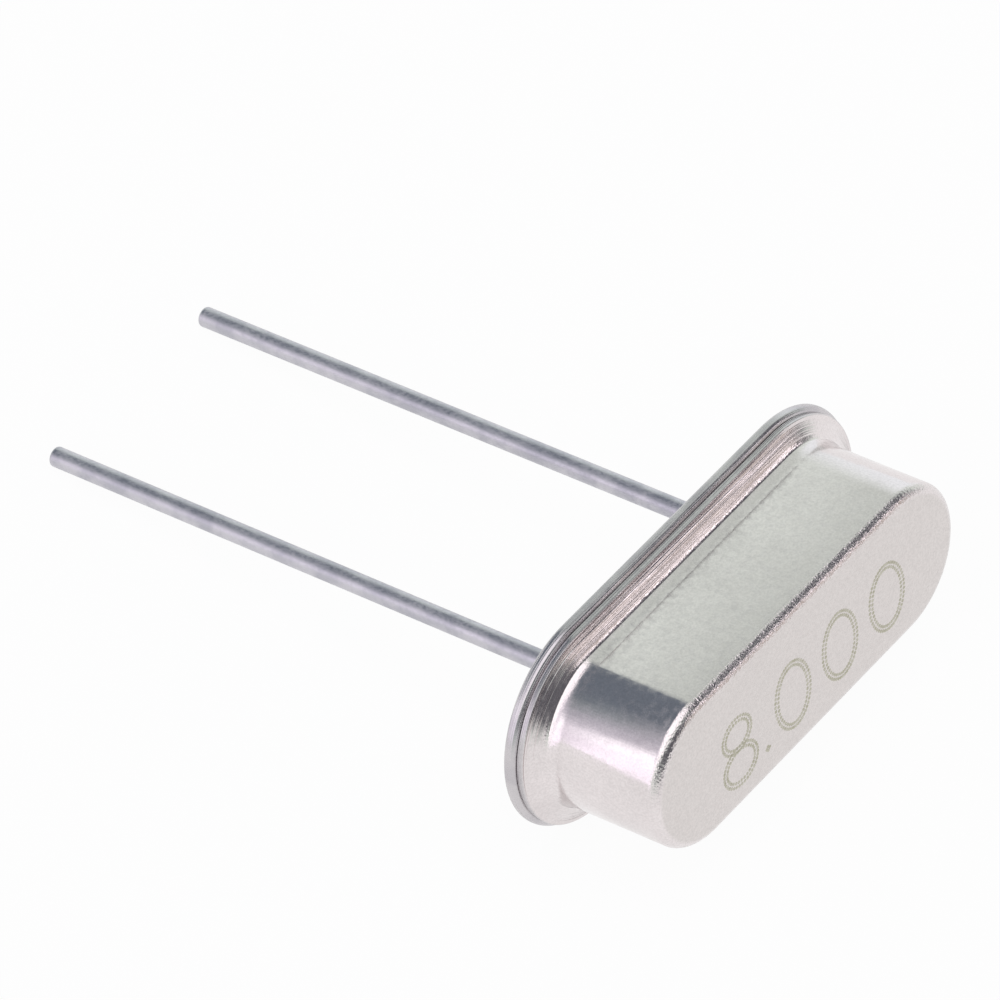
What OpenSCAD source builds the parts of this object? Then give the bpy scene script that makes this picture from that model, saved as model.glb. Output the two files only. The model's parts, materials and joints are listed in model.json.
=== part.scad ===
// Low-profile quartz crystal with two wire leads, in a welded metal can.
// Each piece is drawn upright: the seating plane is z = 0, the lid points up and the leads
// point down. The whole unit is then laid down, so that it rests on one long edge of its
// flange and on the tips of both leads. The origin is on the floor, under the middle of the box.
// A section is drawn as distance from the can's centre line across, and height up.

/* [Can lid] */
// Distance between the centres of the can's two round ends
end_spacing = 6.55; // [5:0.05:8.5]
// Width of the can over its flat walls
can_width = 3.4; // [2.8:0.05:4.6]
// Height from the seating plane to the top face
can_height = 3.25; // [2.7:0.05:5]
// Thickness of the drawn sheet
can_sheet = 0.15; // [0.12:0.01:0.25]
// Inside radius where the wall turns into the top face
top_inside_r = 0.1; // [0.02:0.01:0.2]
// Outside radius where the foot of the wall flares out
flare_r = 0.6; // [0.3:0.01:0.7]
// Angle through which the foot of the wall flares out
flare_angle = 26; // [12:1:30]
// Outside radius of the crease between the foot and the flange
crease_r = 0.05; // [0.03:0.01:0.1]
// Angle from the wall at which the crease eases into the flange's hollow
crease_angle = 50; // [40:1:55]
// Outside radius of that hollow
hollow_r = 0.35; // [0.2:0.01:0.5]
// Slope of the lid's flange, from its hollow down to its rim
flange_slope = 31; // [24:1:34]
// Width of the lid's flange, from the wall to the rim
lid_flange_width = 0.5; // [0.45:0.01:0.6]
// Width of the flat rim, which is welded to the base
lid_rim_width = 0.07; // [0.06:0.01:0.12]
// Outside radius of the bend between the flange's slope and its flat rim
rim_bend_r = 0.05; // [0.02:0.01:0.08]
// Radius on both edges of the rim
lid_rim_r = 0.03; // [0.01:0.01:0.04]

/* [Header base] */
// Thickness of the base's flange
base_flange = 0.26; // [0.25:0.01:0.4]
// How far the base's flange stands out past the lid's
base_step = 0.1; // [0.05:0.01:0.3]
// Radius on the lower edge of the base's flange
base_lower_r = 0.1; // [0.02:0.01:0.12]
// Radius on the upper edge of the base's flange
base_upper_r = 0.12; // [0.01:0.01:0.13]
// Height of the raised middle of the base above the seating plane
header_height = 0.8; // [0.6:0.05:1.2]
// Gap between the raised middle and the inside of the can
header_gap = 0.1; // [0.05:0.01:0.25]
// Radius on the upper edge of the raised middle
header_r = 0.08; // [0.02:0.01:0.15]

/* [Leads and glass seals] */
// Distance between the two leads
lead_pitch = 4.88; // [4:0.02:5.9]
// Length of a lead below the seating plane
lead_length = 13.7; // [5:0.1:25]
// Diameter of the bare wire
wire_d = 0.41; // [0.3:0.01:0.5]
// Thickness of the tin on the wire outside the can
tin_coat = 0.01; // [0.005:0.005:0.02]
// Radius on the cut tip of a lead
lead_tip_r = 0.06; // [0.02:0.01:0.1]
// Diameter of the glass seal round a lead
seal_d = 1.5; // [1.1:0.05:1.9]
// How far the glass stays below the base's faces at its edges
seal_sink = 0.04; // [0.01:0.01:0.1]
// How far the glass dips between its edges
seal_dip = 0.06; // [0.02:0.01:0.12]

/* [Supports] */
// Height of a lead's inner end above the raised middle of the base
head_stand = 0.4; // [0.25:0.05:0.6]
// Diameter of the flattened head on a lead's inner end
head_d = 0.8; // [0.6:0.05:1]
// Thickness of that head
head_thickness = 0.12; // [0.08:0.01:0.2]
// Thickness of the clip's sheet
clip_sheet = 0.1; // [0.06:0.01:0.14]
// Width of the clip's foot, riser and tongue
clip_strip = 0.8; // [0.5:0.05:1]
// Inside radius of the clip's bends
clip_bend_r = 0.05; // [0.03:0.01:0.08]
// Height of the clip's shelf above its foot
clip_rise = 0.3; // [0.25:0.01:0.45]
// Length of the tongue past the end of the quartz
tongue_reach = 0.35; // [0.3:0.05:0.5]
// Length of the clip's side ears
ear_length = 0.6; // [0.3:0.05:0.8]
// Gap between an ear and the side of the quartz
ear_gap = 0.05; // [0.03:0.01:0.1]
// How far the ears stand above the quartz
ear_overtop = 0.05; // [0:0.01:0.2]

/* [Quartz blank] */
// Frequency in megahertz, which sets the thickness of the quartz
frequency = 8; // [6:0.5:24]
// Thickness in millimetres times frequency in megahertz, for this cut of quartz
frequency_constant = 1.66; // [1.6:0.01:1.7]
// Gap between the end of the quartz and the inside of the can
blank_end_gap = 0.9; // [0.8:0.05:1.4]
// Gap between the side of the quartz and the inside of the can
blank_side_gap = 0.65; // [0.5:0.01:0.75]
// Bevel along the long edges of the quartz
blank_bevel = 0.03; // [0.01:0.005:0.03]
// Bare quartz between an electrode and the end of the blank
electrode_end_margin = 1.6; // [1:0.1:2]
// Bare quartz between an electrode and the side of the blank
electrode_side_margin = 0.25; // [0.1:0.05:0.3]
// Width of the tab that leads from an electrode to the end of the blank
electrode_tab = 0.5; // [0.3:0.05:0.7]
// Bare quartz past the end of that tab
tab_end_margin = 0.05; // [0.02:0.01:0.2]
// Thickness drawn for the silver film, which is far thinner on a real one
film = 0.01; // [0.005:0.005:0.02]
// Radius of a bond's dome over its clip
bond_r = 0.4; // [0.35:0.01:0.45]
// How far the dome's centre lies in from the end of the quartz
bond_setback = 0.08; // [0.05:0.01:0.15]
// Thickness of the bond between clip and quartz
bond_line = 0.03; // [0.025:0.005:0.05]

/* [Hidden] */
$fn = 72;

left = -1;
right = 1;
over = 1; // how far a cutter runs past what it cuts

// Can and base
can_half = can_width / 2;
inside_half = can_half - can_sheet;
top_outside_r = top_inside_r + can_sheet;
lid_flange_top = base_flange + can_sheet;
lid_flange_half = can_half + lid_flange_width;
base_half = lid_flange_half + base_step;
header_half = inside_half - header_gap;

// Foot of the lid: four bends, each given by its centre, with a straight slope between the
// hollow and the rim's bend. Angles are turned from the wall towards the flat rim.
slope_angle = 90 - flange_slope;
slope_run = lid_flange_width - lid_rim_width
    - flare_r * (1 - cos(flare_angle))
    - crease_r * (cos(flare_angle) - cos(crease_angle))
    - hollow_r * (cos(crease_angle) - cos(slope_angle))
    - rim_bend_r * cos(slope_angle);
wall_foot = lid_flange_top
    + flare_r * sin(flare_angle)
    + crease_r * (sin(crease_angle) - sin(flare_angle))
    + hollow_r * (sin(slope_angle) - sin(crease_angle))
    + slope_run * tan(flange_slope)
    + rim_bend_r * (1 - sin(slope_angle));
flare_centre = [can_half + flare_r, wall_foot];
crease_centre = flare_centre
    - (flare_r - crease_r) * [cos(flare_angle), sin(flare_angle)];
hollow_centre = crease_centre
    + (hollow_r - crease_r) * [cos(crease_angle), sin(crease_angle)];
rim_bend_centre = [lid_flange_half - lid_rim_width, lid_flange_top + rim_bend_r];
arc_steps = 8;

// Leads and seals
wire_r = wire_d / 2;
lead_r = wire_r + tin_coat;
seal_width = seal_d / 2 - wire_r;
dip_r = pow(seal_width, 2) / (8 * seal_dip) + seal_dip / 2;
lead_top = header_height + head_stand;

// Quartz blank, on its clips
blank_thickness = frequency_constant / frequency;
blank_half_length = end_spacing / 2 + inside_half - blank_end_gap;
blank_half_width = inside_half - blank_side_gap;
foot_top = lead_top + clip_sheet;
shelf_top = foot_top + clip_rise;
blank_bottom = shelf_top + bond_line;
blank_top = blank_bottom + blank_thickness;
ear_inside = blank_half_width + ear_gap;
ear_top = blank_top + ear_overtop;

// Clip, measured outwards from its lead
foot_end = head_d / 2;
riser_outside = foot_end + clip_bend_r + clip_sheet;
shelf_start = riser_outside + clip_bend_r;
blank_end = blank_half_length - lead_pitch / 2;

// Lying pose: the tilt at which the flange's edge and the lead tips touch the floor together
rest_rise = base_half - base_lower_r - lead_r + lead_tip_r;
rest_run = lead_length - lead_tip_r + base_lower_r;
rest_tilt = atan2(rest_rise, rest_run)
    + asin((base_lower_r - lead_tip_r) / norm([rest_rise, rest_run]));
rest_lift = cos(rest_tilt) * (base_half - base_lower_r) - sin(rest_tilt) * base_lower_r
    + base_lower_r;
far_end = cos(rest_tilt) * (lead_length - lead_tip_r)
    + sin(rest_tilt) * (lead_r - lead_tip_r) + lead_tip_r;
near_end = cos(rest_tilt) * (can_height - top_outside_r)
    + sin(rest_tilt) * (can_half - top_outside_r) + top_outside_r;

// Turns an upright piece into the lying pose
module lie_down() {
    translate([0, (near_end - far_end) / 2, rest_lift])
        rotate([90 - rest_tilt, 0, 0])
            children();
}

// Points along an arc
function arc(centre, r, start, end) = [
    for (step = [0 : arc_steps])
        let (a = start + (end - start) * step / arc_steps)
            centre + r * [cos(a), sin(a)]
];

// Quarter of a disc, in the corner between +X and +Y
module quarter_disc(r) {
    intersection() {
        circle(r);
        square(r);
    }
}

// Quarter of a ring, in the corner between +X and +Y
module quarter_ring(inner_r, outer_r) {
    difference() {
        quarter_disc(outer_r);
        circle(inner_r);
    }
}

// Rectangle whose two outer corners are round
module round_edged(width, height, lower_r, upper_r) {
    translate([0, lower_r])
        square([width, height - lower_r - upper_r]);
    square([width - lower_r, lower_r]);
    translate([width - lower_r, lower_r])
        mirror([0, 1])
            quarter_disc(lower_r);
    translate([0, height - upper_r])
        square([width - upper_r, upper_r]);
    translate([width - upper_r, height - upper_r])
        quarter_disc(upper_r);
}

// Carries a section once round the can's outline
module sweep_outline() {
    for (side = [left, right]) {
        translate([side * end_spacing / 2, 0, 0])
            rotate([0, 0, -90 * side])
                rotate_extrude(angle = 180)
                    children();
        mirror([0, side == left ? 1 : 0, 0])
            rotate([90, 0, 90])
                linear_extrude(end_spacing, center = true)
                    children();
    }
}

// Places what is drawn at a lead's own axis, with +X pointing out of the can's end
module at_lead(side) {
    mirror([side == left ? 1 : 0, 0, 0])
        translate([lead_pitch / 2, 0, 0])
            children();
}

// Extrudes a section drawn in X and Z along Y, centred
module across(width) {
    rotate([90, 0, 0])
        linear_extrude(width, center = true)
            children();
}

// Extrudes a section drawn in Y and Z along +X
module along(length) {
    rotate([90, 0, 90])
        linear_extrude(length)
            children();
}

// Outside of the sheet from the top face to the rim, then its inside back to the top face
module lid_section() {
    top_centre = [can_half - top_outside_r, can_height - top_outside_r];
    rim_out = lid_flange_half - lid_rim_r;
    polygon(concat(
        [[0, can_height]],
        arc(top_centre, top_outside_r, 90, 0),
        arc(flare_centre, flare_r, 180, 180 + flare_angle),
        arc(crease_centre, crease_r, 180 + flare_angle, 180 + crease_angle),
        arc(hollow_centre, hollow_r, 180 + crease_angle, 180 + slope_angle),
        arc(rim_bend_centre, rim_bend_r, 180 + slope_angle, 270),
        arc([rim_out, lid_flange_top - lid_rim_r], lid_rim_r, 90, 0),
        arc([rim_out, base_flange + lid_rim_r], lid_rim_r, 0, -90),
        arc(rim_bend_centre, rim_bend_r + can_sheet, 270, 180 + slope_angle),
        arc(hollow_centre, hollow_r + can_sheet, 180 + slope_angle, 180 + crease_angle),
        arc(crease_centre, crease_r + can_sheet, 180 + crease_angle, 180 + flare_angle),
        arc(flare_centre, flare_r + can_sheet, 180 + flare_angle, 180),
        arc(top_centre, top_inside_r, 0, 90),
        [[0, can_height - can_sheet]]
    ));
}

module can_lid() {
    color("#d3d0cb")
        lie_down()
            sweep_outline()
                lid_section();
}

module header_section() {
    round_edged(base_half, base_flange, base_lower_r, base_upper_r);
    round_edged(header_half, header_height, base_lower_r, header_r);
}

module header_base() {
    color("#b9b8b6")
        lie_down()
            difference() {
                sweep_outline()
                    header_section();
                for (side = [left, right])
                    at_lead(side)
                        translate([0, 0, -over])
                            cylinder(d = seal_d, h = header_height + 2 * over);
            }
}

module seal_section() {
    translate([wire_r, 0])
        difference() {
            translate([0, seal_sink])
                square([seal_width, header_height - 2 * seal_sink]);
            translate([seal_width / 2, seal_sink + seal_dip - dip_r])
                circle(dip_r);
            translate([seal_width / 2, header_height - seal_sink - seal_dip + dip_r])
                circle(dip_r);
        }
}

module glass_seal(side) {
    color("#5d5f56")
        lie_down()
            at_lead(side)
                rotate_extrude()
                    seal_section();
}

module lead_section() {
    // tinned wire outside the can
    translate([0, lead_tip_r - lead_length])
        square([lead_r, lead_length - lead_tip_r]);
    translate([0, -lead_length])
        square([lead_r - lead_tip_r, lead_tip_r]);
    translate([lead_r - lead_tip_r, lead_tip_r - lead_length])
        mirror([0, 1])
            quarter_disc(lead_tip_r);
    // bare wire through the glass, and its flattened head
    square([wire_r, lead_top - head_thickness]);
    translate([0, lead_top - head_thickness])
        square([head_d / 2, head_thickness]);
}

module lead(side) {
    color("#c4c2c3")
        lie_down()
            at_lead(side)
                rotate_extrude()
                    lead_section();
}

// Foot on the lead's head, riser, shelf under the quartz and tongue past its end
module clip_strip_section() {
    translate([-head_d / 2, lead_top])
        square([head_d / 2 + foot_end, clip_sheet]);
    translate([foot_end, foot_top + clip_bend_r])
        mirror([0, 1])
            quarter_ring(clip_bend_r, clip_bend_r + clip_sheet);
    translate([riser_outside - clip_sheet, foot_top + clip_bend_r])
        square([clip_sheet, clip_rise - clip_sheet - 2 * clip_bend_r]);
    translate([shelf_start, shelf_top - clip_sheet - clip_bend_r])
        mirror([1, 0])
            quarter_ring(clip_bend_r, clip_bend_r + clip_sheet);
    translate([shelf_start, shelf_top - clip_sheet])
        square([blank_end + tongue_reach - shelf_start, clip_sheet]);
}

// Shelf with an ear turned up along each side of the quartz
module clip_ears_section() {
    translate([clip_bend_r - ear_inside, shelf_top - clip_sheet])
        square([2 * (ear_inside - clip_bend_r), clip_sheet]);
    for (flip = [0, 1])
        mirror([flip, 0]) {
            translate([ear_inside - clip_bend_r, shelf_top + clip_bend_r])
                mirror([0, 1])
                    quarter_ring(clip_bend_r, clip_bend_r + clip_sheet);
            translate([ear_inside, shelf_top + clip_bend_r])
                square([clip_sheet, ear_top - shelf_top - clip_bend_r]);
        }
}

module support_clip(side) {
    color("#c9bf9f")
        lie_down()
            at_lead(side) {
                across(clip_strip)
                    clip_strip_section();
                translate([blank_end - ear_length, 0, 0])
                    along(ear_length)
                        clip_ears_section();
            }
}

// Strip of quartz with bevelled long edges
module blank_solid() {
    flat_half = blank_half_width - blank_bevel;
    low_bevel = blank_bottom + blank_bevel;
    high_bevel = blank_top - blank_bevel;
    translate([-blank_half_length, 0, 0])
        along(2 * blank_half_length)
            polygon([
                [-flat_half, blank_bottom], [flat_half, blank_bottom],
                [blank_half_width, low_bevel], [blank_half_width, high_bevel],
                [flat_half, blank_top], [-flat_half, blank_top],
                [-blank_half_width, high_bevel], [-blank_half_width, low_bevel]
            ]);
}

module quartz_blank() {
    color("#e6ebea")
        lie_down()
            blank_solid();
}

// Silver film in the middle of one face, with a tab to the end of the blank on one side
module electrode_solid(side, height) {
    half_length = blank_half_length - electrode_end_margin;
    half_width = blank_half_width - electrode_side_margin;
    tab_end = blank_half_length - tab_end_margin;
    translate([0, 0, height])
        linear_extrude(film) {
            square([2 * half_length, 2 * half_width], center = true);
            translate([side * tab_end / 2, 0])
                square([tab_end, electrode_tab], center = true);
        }
}

module upper_electrode() {
    color("#dcdcd8")
        lie_down()
            electrode_solid(left, blank_top);
}

module lower_electrode() {
    color("#dcdcd8")
        lie_down()
            electrode_solid(right, blank_bottom - film);
}

// Dome of silver-filled resin that wraps the end of the quartz and sits on the clip's tongue
module silver_bond(side) {
    color("#aeadaa")
        lie_down()
            difference() {
                at_lead(side)
                    translate([blank_end - bond_setback, 0, shelf_top])
                        difference() {
                            sphere(bond_r);
                            translate([0, 0, -bond_r])
                                cube(2 * bond_r, center = true);
                        }
                blank_solid();
                electrode_solid(left, blank_top);
                electrode_solid(right, blank_bottom - film);
            }
}

can_lid();
header_base();
glass_seal(left);  // glass_seal_left
glass_seal(right);  // glass_seal_right
lead(left);  // lead_left
lead(right);  // lead_right
support_clip(left);  // support_clip_left
support_clip(right);  // support_clip_right
quartz_blank();
upper_electrode();
lower_electrode();
silver_bond(left);  // silver_bond_left
silver_bond(right);  // silver_bond_right
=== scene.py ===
import json
from math import asin, cos, degrees, pi, radians, sin, tan
import bpy
import bmesh
from mathutils import Matrix, Vector


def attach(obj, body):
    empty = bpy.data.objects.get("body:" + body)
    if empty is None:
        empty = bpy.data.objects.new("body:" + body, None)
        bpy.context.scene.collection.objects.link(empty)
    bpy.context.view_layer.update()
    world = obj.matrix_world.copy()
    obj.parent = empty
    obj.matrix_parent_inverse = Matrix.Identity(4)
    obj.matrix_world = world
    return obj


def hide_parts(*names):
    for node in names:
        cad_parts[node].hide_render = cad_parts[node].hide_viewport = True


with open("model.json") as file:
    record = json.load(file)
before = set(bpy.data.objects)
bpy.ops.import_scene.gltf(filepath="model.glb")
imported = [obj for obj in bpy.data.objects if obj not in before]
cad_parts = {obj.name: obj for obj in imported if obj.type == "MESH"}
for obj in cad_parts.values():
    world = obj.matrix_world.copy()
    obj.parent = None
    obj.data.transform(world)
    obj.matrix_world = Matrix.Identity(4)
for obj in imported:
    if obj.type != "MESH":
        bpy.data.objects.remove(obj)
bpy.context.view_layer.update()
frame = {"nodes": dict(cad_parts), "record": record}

mm = 0.001  # metres

# The unit lies on its side. Its pieces are made upright in millimetres, with the seating
# plane at z = 0 and the lid upwards, and are then laid down onto the frame.
seat = next(mount for mount in frame["record"]["mounts"] if mount["name"] == "seating_face")
lidWay = -Vector(seat["axis"])
sideWay = lidWay.cross(Vector((1, 0, 0)))
upright = Matrix((Vector((1, 0, 0)), sideWay, lidWay)).transposed().to_4x4()
upright.translation = Vector(seat["pos_m"])
layDown = upright @ Matrix.Scale(mm, 4)
standUp = layDown.inverted()


def nodeBox(node):
    # lowest and highest corner of a CAD node in the upright frame, in millimetres
    points = [standUp @ vertex.co for vertex in frame["nodes"][node].data.vertices]
    low = Vector([min(point[axis] for point in points) for axis in range(3)])
    high = Vector([max(point[axis] for point in points) for axis in range(3)])
    return low, high


lidLow, lidHigh = nodeBox("can_lid")
baseLow, baseHigh = nodeBox("header_base")
sealLow, sealHigh = nodeBox("glass_seal_right")
leadLow, leadHigh = nodeBox("lead_right")
endCentre = lidHigh.x - lidHigh.y  # from the middle to the centre of a round end
leadCentre = (leadLow.x + leadHigh.x) / 2
sealRadius = (sealHigh.y - sealLow.y) / 2
sides = {"left": -1, "right": 1}
print("frame read")


# Mesh helpers, in millimetres
hair = 0.001  # a distance that counts as none
mergeDistance = 0.0001
bendSteps = 10  # steps round one bend of a section
endSteps = 72  # round an end of the can
wireSteps = 64  # round a wire, a seal or a bore
sharpAngle = 38  # degrees, past which an edge stays sharp


def addSection(bm, bends):
    # chain of edges in the YZ plane: each bend is its centre's distance out and height, its
    # radius, and the angles where it starts and ends; a sharp corner has no radius
    last = None
    for out, height, radius, start, end in bends:
        first = bm.verts.new((0, out + radius * cos(radians(start)),
                              height + radius * sin(radians(start))))
        if last:
            bm.edges.new((last, first))
        last = first
        if radius:
            turned = bmesh.ops.spin(bm, geom=[first], cent=(0, out, height), axis=(1, 0, 0),
                                    angle=radians(end - start), steps=bendSteps,
                                    use_duplicate=False)["geom_last"]
            last = next(item for item in turned if isinstance(item, bmesh.types.BMVert))
    return bm.verts[:] + bm.edges[:]


def corner(out, height):
    return out, height, 0, 0, 0


def sweepOutline(bm, section):
    # carries a section round the can: half turn, straight, half turn, straight
    bmesh.ops.translate(bm, vec=(endCentre, 0, 0), verts=bm.verts)
    last = section
    for side in (1, -1):
        turned = bmesh.ops.spin(bm, geom=last, cent=(side * endCentre, 0, 0), axis=(0, 0, 1),
                                angle=-pi, steps=endSteps, use_duplicate=False)["geom_last"]
        lastEdges = [item for item in turned if isinstance(item, bmesh.types.BMEdge)]
        drawn = bmesh.ops.extrude_edge_only(bm, edges=lastEdges)["geom"]
        last = [item for item in drawn if not isinstance(item, bmesh.types.BMFace)]
        lastVerts = [item for item in last if isinstance(item, bmesh.types.BMVert)]
        bmesh.ops.translate(bm, vec=(-2 * side * endCentre, 0, 0), verts=lastVerts)
    bmesh.ops.remove_doubles(bm, verts=bm.verts, dist=mergeDistance)


def spinAround(bm, section):
    # turns a section full circle about its own axis
    bmesh.ops.spin(bm, geom=section, cent=(0, 0, 0), axis=(0, 0, 1), angle=2 * pi,
                   steps=wireSteps, use_merge=True, use_duplicate=False)
    bmesh.ops.remove_doubles(bm, verts=bm.verts, dist=mergeDistance)


def finishPiece(bm, name, material, nodes=()):
    # lays an upright piece down onto the frame, puts it under the root body and hides the CAD nodes
    # it stands for
    bmesh.ops.recalc_face_normals(bm, faces=bm.faces)
    bmesh.ops.transform(bm, matrix=layDown, verts=bm.verts)
    for face in bm.faces:
        face.smooth = True
    for edge in bm.edges:
        edge.smooth = edge.calc_face_angle(0) < radians(sharpAngle)
    mesh = bpy.data.meshes.new(name)
    bm.to_mesh(mesh)
    bm.free()
    piece = bpy.data.objects.new(name, mesh)
    bpy.context.scene.collection.objects.link(piece)
    piece.data.materials.append(material)
    weighted = piece.modifiers.new("flat faces stay flat", 'WEIGHTED_NORMAL')
    weighted.keep_sharp = True
    weighted.weight = 100  # only the largest faces count
    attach(piece, "root")
    if nodes:
        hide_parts(*nodes)
    return piece


# Material helpers
noiseLow, noiseHigh = 0.35, 0.65  # most of a noise pattern's values lie between


def srgb(code):
    # hex colour to linear values
    channels = [int(code[place:place + 2], 16) / 255 for place in (1, 3, 5)]
    linear = [c / 12.92 if c <= 0.04045 else ((c + 0.055) / 1.055) ** 2.4 for c in channels]
    return (*linear, 1)


def addNode(tree, kind, inputs=None, **settings):
    node = tree.nodes.new(kind)
    for name, value in settings.items():
        setattr(node, name, value)
    for socket, value in (inputs or {}).items():
        if isinstance(value, bpy.types.NodeSocket):
            tree.links.new(value, node.inputs[socket])
        else:
            node.inputs[socket].default_value = value
    return node


def newMaterial(name):
    # also gives the place on the object that patterns are read at
    material = bpy.data.materials.new(name)
    material.use_nodes = True
    tree = material.node_tree
    shader = next(node for node in tree.nodes if node.type == 'BSDF_PRINCIPLED')
    coords = addNode(tree, 'ShaderNodeTexCoord')
    # stood upright again, in millimetres
    turn = addNode(tree, 'ShaderNodeMapping', {
        "Vector": coords.outputs["Object"],
        "Location": standUp.translation,
        "Rotation": standUp.to_euler(),
        "Scale": standUp.to_scale()})
    return material, tree, shader, turn.outputs["Vector"]


# Can lid: drawn from one sheet, so its inside follows its outside
lid = {
    "sheet": 0.15,
    "topRadius": 0.25,
    "flangeWidth": 0.5,
    "flareRadius": 0.6,  # foot of the wall
    "flareAngle": 26,
    "creaseRadius": 0.05,  # between the foot and the flange
    "creaseAngle": 50,
    "hollowRadius": 0.35,  # between the crease and the flange's slope
    "flangeSlope": 31,
    "rimWidth": 0.07,  # flat, welded to the base
    "rimBendRadius": 0.05,
    "rimRadius": 0.03,
    # finish: colours, roughness, then patterns, each by its count in a millimetre and its depth
    "colour": "#E9E2E2",
    "cloudColour": "#E2DBDB",
    "faceShadeColour": "#DBD5D3",  # a little darker on the face: painted shade, to dim the floor it reflects
    "faceDepth": 0.02,  # how far down from the face it fades out
    "edgeColour": "#CBC7C9",  # sheared edge of the rim
    "mottleShare": 0.09,  # how much darker the darkest spots of the plating are
    "bright": 0.1,  # roughness of the smoothest spots
    "dull": 0.2,  # and of the roughest
    "coined": 0.06,  # added where the welding ring pressed the flange
    "coinedStart": (0.02, 0.06),  # how far past the crease that begins and is full
    "footHaze": 0.02,  # added at the foot of the wall, where the die rubbed it
    "footHazeHeight": 0.5,
    "grain": 22,  # a little coarser than real plating, so that it shows
    "grainHeight": 0.0003,
    "dimple": 7,  # left by the drawing
    "dimpleHeight": 0.0008,
    "draw": 9,  # draw marks, counted round the wall
    "drawStretch": 0.06,  # how much slower they change along their length
    "drawHeight": 0.002,
    "peel": 20,  # lumps, where the sheet was stretched over a punch
    "peelHeight": 0.012,
    "peelDown": (1.1, 0.6),  # how far below the face they begin and are full, in top radii
    "peelIn": (1.5, 0.9),  # and how far in from the wall
    "footPeel": 0.3,  # share of their depth at the foot of the wall
    "cloud": 0.9,  # left by the plating bath
    "cloudHeight": 0.006,
    "bow": 0.036,  # how far back the wall lies, a millimetre from its middle
    "ring": 15,  # press marks, counted across the flange
    "ringDrift": 0.15,  # and along it
    "ringHeight": 0.026,
}
wallHalf = lidHigh.y - lid["flangeWidth"]
flangeTop = lidLow.z + lid["sheet"]

# Bends at the foot, from the wall down to the flat rim: radius, and the turn from the wall where
# each starts and ends
footBends = [
    (lid["flareRadius"], 0, lid["flareAngle"]),
    (lid["creaseRadius"], lid["flareAngle"], lid["creaseAngle"]),
    (lid["hollowRadius"], lid["creaseAngle"], 90 - lid["flangeSlope"]),
    (lid["rimBendRadius"], 90 - lid["flangeSlope"], 90)]


def placeFootBends():
    # height where the wall ends, and each bend's centre, out and up. The slope before the last
    # bend takes up what the bends leave of the flange.
    bentOut = sum(r * (cos(radians(a)) - cos(radians(b))) for r, a, b in footBends)
    bentDown = sum(r * (sin(radians(b)) - sin(radians(a))) for r, a, b in footBends)
    slopeOut = lid["flangeWidth"] - lid["rimWidth"] - bentOut
    slopeDown = slopeOut * tan(radians(lid["flangeSlope"]))
    wallEnd = flangeTop + bentDown + slopeDown
    centres = []
    centre = Vector((wallHalf, wallEnd))
    lastRadius = 0
    for radius, start, end in footBends:
        if end == 90:
            centre += Vector((slopeOut, -slopeDown))
        centre += (radius - lastRadius) * Vector((cos(radians(start)), sin(radians(start))))
        centres.append(centre.copy())
        lastRadius = radius
    return wallEnd, centres


wallFoot, footCentres = placeFootBends()
creaseOut, creaseHeight = footCentres[1]


def addOutlineDistance(tree, place):
    # distance from the can's centre line, square to its outline, and height
    split = addNode(tree, 'ShaderNodeSeparateXYZ', {0: place})
    length = addNode(tree, 'ShaderNodeMath', {0: split.outputs["X"]}, operation='ABSOLUTE')
    past = addNode(tree, 'ShaderNodeMath', {0: length.outputs[0], 1: endCentre},
                   operation='SUBTRACT')
    end = addNode(tree, 'ShaderNodeMath', {0: past.outputs[0], 1: 0.0}, operation='MAXIMUM')
    flat = addNode(tree, 'ShaderNodeCombineXYZ', {"X": end.outputs[0], "Y": split.outputs["Y"]})
    out = addNode(tree, 'ShaderNodeVectorMath', {0: flat.outputs[0]}, operation='LENGTH')
    return out.outputs["Value"], split.outputs["Z"]


def addPressMarks(tree, place, out, height, piece):
    # marks that run round the outline: fine across it, long along it
    drift = addNode(tree, 'ShaderNodeVectorMath', {0: place, "Scale": piece["ringDrift"]},
                    operation='SCALE')
    across = addNode(tree, 'ShaderNodeCombineXYZ', {"X": out, "Z": height})
    fine = addNode(tree, 'ShaderNodeVectorMath', {0: across.outputs[0], "Scale": piece["ring"]},
                   operation='SCALE')
    both = addNode(tree, 'ShaderNodeVectorMath', {0: drift.outputs[0], 1: fine.outputs[0]})
    return addNode(tree, 'ShaderNodeTexNoise', {
        "Vector": both.outputs[0], "Scale": 1, "Detail": 2, "Roughness": 0.6}).outputs["Fac"]


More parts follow.
